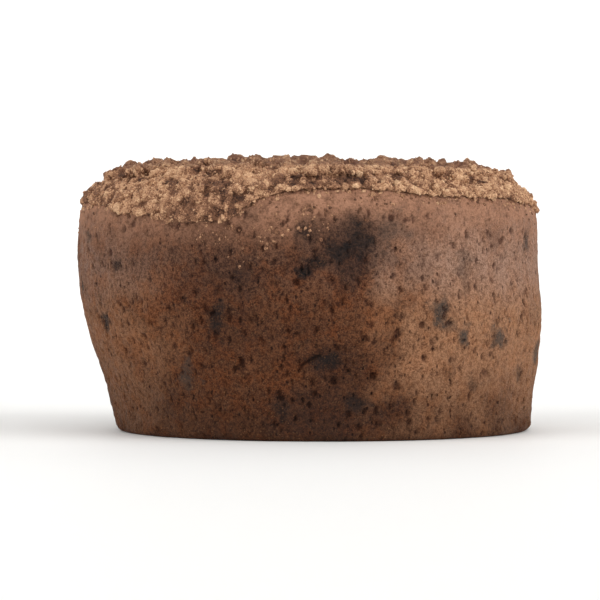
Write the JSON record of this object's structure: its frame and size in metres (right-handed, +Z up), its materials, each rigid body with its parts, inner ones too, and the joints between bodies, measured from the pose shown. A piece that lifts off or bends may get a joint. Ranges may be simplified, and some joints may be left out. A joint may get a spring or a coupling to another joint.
{
  "type": "crumb coffee cake",
  "caption": "Tall round coffee cake with a tapered, slightly leaning side, a rounded shoulder and a ragged layer of streusel crumbs on top.",
  "frame": {"origin": "middle of the cake's flat underside", "axes": "+Z up through the cake, from its underside to its crumbs; -Y is the front, which the picture shows; +X is to the right of that view"},
  "size_m": [0.1797, 0.1785, 0.1045],
  "materials": {
    "cake_crust": "baked cake crust, matte and finely porous",
    "crumb_streusel": "dry streusel crumbs, matte and grainy"
  },
  "bodies": {
    "root": {"cake_body": "cake_crust", "crumb_topping": "crumb_streusel"}
  },
  "joints": []
}
